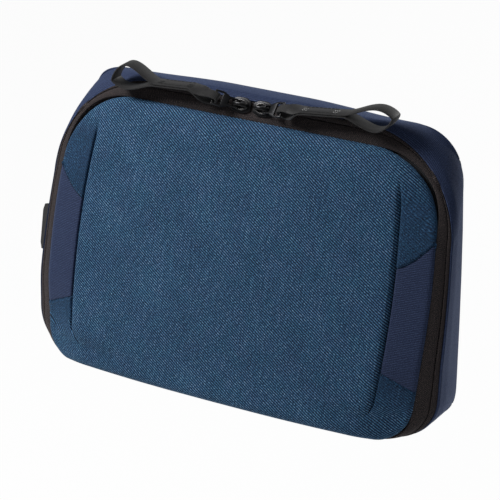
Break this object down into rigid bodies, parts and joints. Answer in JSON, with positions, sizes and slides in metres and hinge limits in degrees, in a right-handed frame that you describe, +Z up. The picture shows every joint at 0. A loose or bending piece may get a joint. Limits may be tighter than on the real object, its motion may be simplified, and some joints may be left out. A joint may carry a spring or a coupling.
{
  "type": "cable organizer pouch",
  "caption": "Soft wedge-shaped clamshell pouch with a padded front cover, a zip round three sides, a bottom fabric hinge and cable loops and pockets inside.",
  "frame": {"origin": "middle of the standing face, under the zip band's rear seam area", "axes": "+X to the right of a viewer facing the front, +Y from the front cover to the flat back, +Z up"},
  "size_m": [0.2482, 0.0527, 0.1625],
  "materials": {
    "teal_twill": "melange twill, soft and matte",
    "navy_weave": "plain weave, matte",
    "zip_tape_black": "herringbone tape, matte",
    "coil_nylon": "nylon coil",
    "pull_webbing": "ribbed grosgrain, slight sheen",
    "painted_zinc": "black paint, satin",
    "lining_cloth": "fine woven lining",
    "padding_foam": "closed-cell foam",
    "elastic_band": "ribbed elastic",
    "pocket_mesh": "open mesh"
  },
  "bodies": {
    "rear_shell": {"rear_panel": "navy_weave", "rear_gusset": "navy_weave", "rear_foam": "padding_foam", "gusset_foam": "padding_foam", "rear_lining": "lining_cloth", "side_tab": "pull_webbing", "hinge_strip": "navy_weave", "organizer_panel": "lining_cloth", "elastic_loops_upper": "elastic_band", "elastic_loops_lower": "elastic_band", "slip_pocket": "lining_cloth", "slip_pocket_binding": "elastic_band", "rear_zip_tape": "zip_tape_black", "rear_zip_coil": "coil_nylon", "zip_end_stop_left": "painted_zinc", "zip_end_stop_right": "painted_zinc"},
    "front_cover": {"front_panel": "teal_twill", "side_patch_left": "navy_weave", "side_patch_right": "navy_weave", "front_foam": "padding_foam", "front_lining": "lining_cloth", "mesh_pocket": "pocket_mesh", "mesh_pocket_binding": "elastic_band", "front_zip_tape": "zip_tape_black", "front_zip_coil": "coil_nylon"},
    "slider_left": {"slider_left": "painted_zinc"},
    "link_left": {"link_left": "painted_zinc"},
    "pull_left": {"pull_left": "pull_webbing"},
    "slider_right": {"slider_right": "painted_zinc"},
    "link_right": {"link_right": "painted_zinc"},
    "pull_right": {"pull_right": "pull_webbing"}
  },
  "joints": [
    {"name": "cover_hinge", "type": "hinge", "parent": "rear_shell", "child": "front_cover", "pos_m": [0, -0.01576, -0.00035], "axis": [1, 0, 0], "range_deg": [0, 180]},
    {"name": "slider_left_travel", "type": "slide", "parent": "front_cover", "child": "slider_left", "axis": [-1, 0, 0], "range_m": [0, 0.048]},
    {"name": "link_left_swing", "type": "hinge", "parent": "slider_left", "child": "link_left", "pos_m": [-0.0082, 0.00166, 0.15276], "axis": [0, 0.6596, 0.7516], "range_deg": [0, 80]},
    {"name": "pull_left_swing", "type": "hinge", "parent": "link_left", "child": "pull_left", "pos_m": [-0.01973, -0.00083, 0.15495], "axis": [0, 0.8505, 0.526], "range_deg": [0, 35]},
    {"name": "slider_right_travel", "type": "slide", "parent": "front_cover", "child": "slider_right", "axis": [1, 0, 0], "range_m": [0, 0.048]},
    {"name": "link_right_swing", "type": "hinge", "parent": "slider_right", "child": "link_right", "pos_m": [0.0082, 0.00166, 0.15276], "axis": [0, -0.6596, -0.7516], "range_deg": [0, 80]},
    {"name": "pull_right_swing", "type": "hinge", "parent": "link_right", "child": "pull_right", "pos_m": [0.01973, -0.00083, 0.15495], "axis": [0, -0.8505, -0.526], "range_deg": [0, 35]}
  ]
}
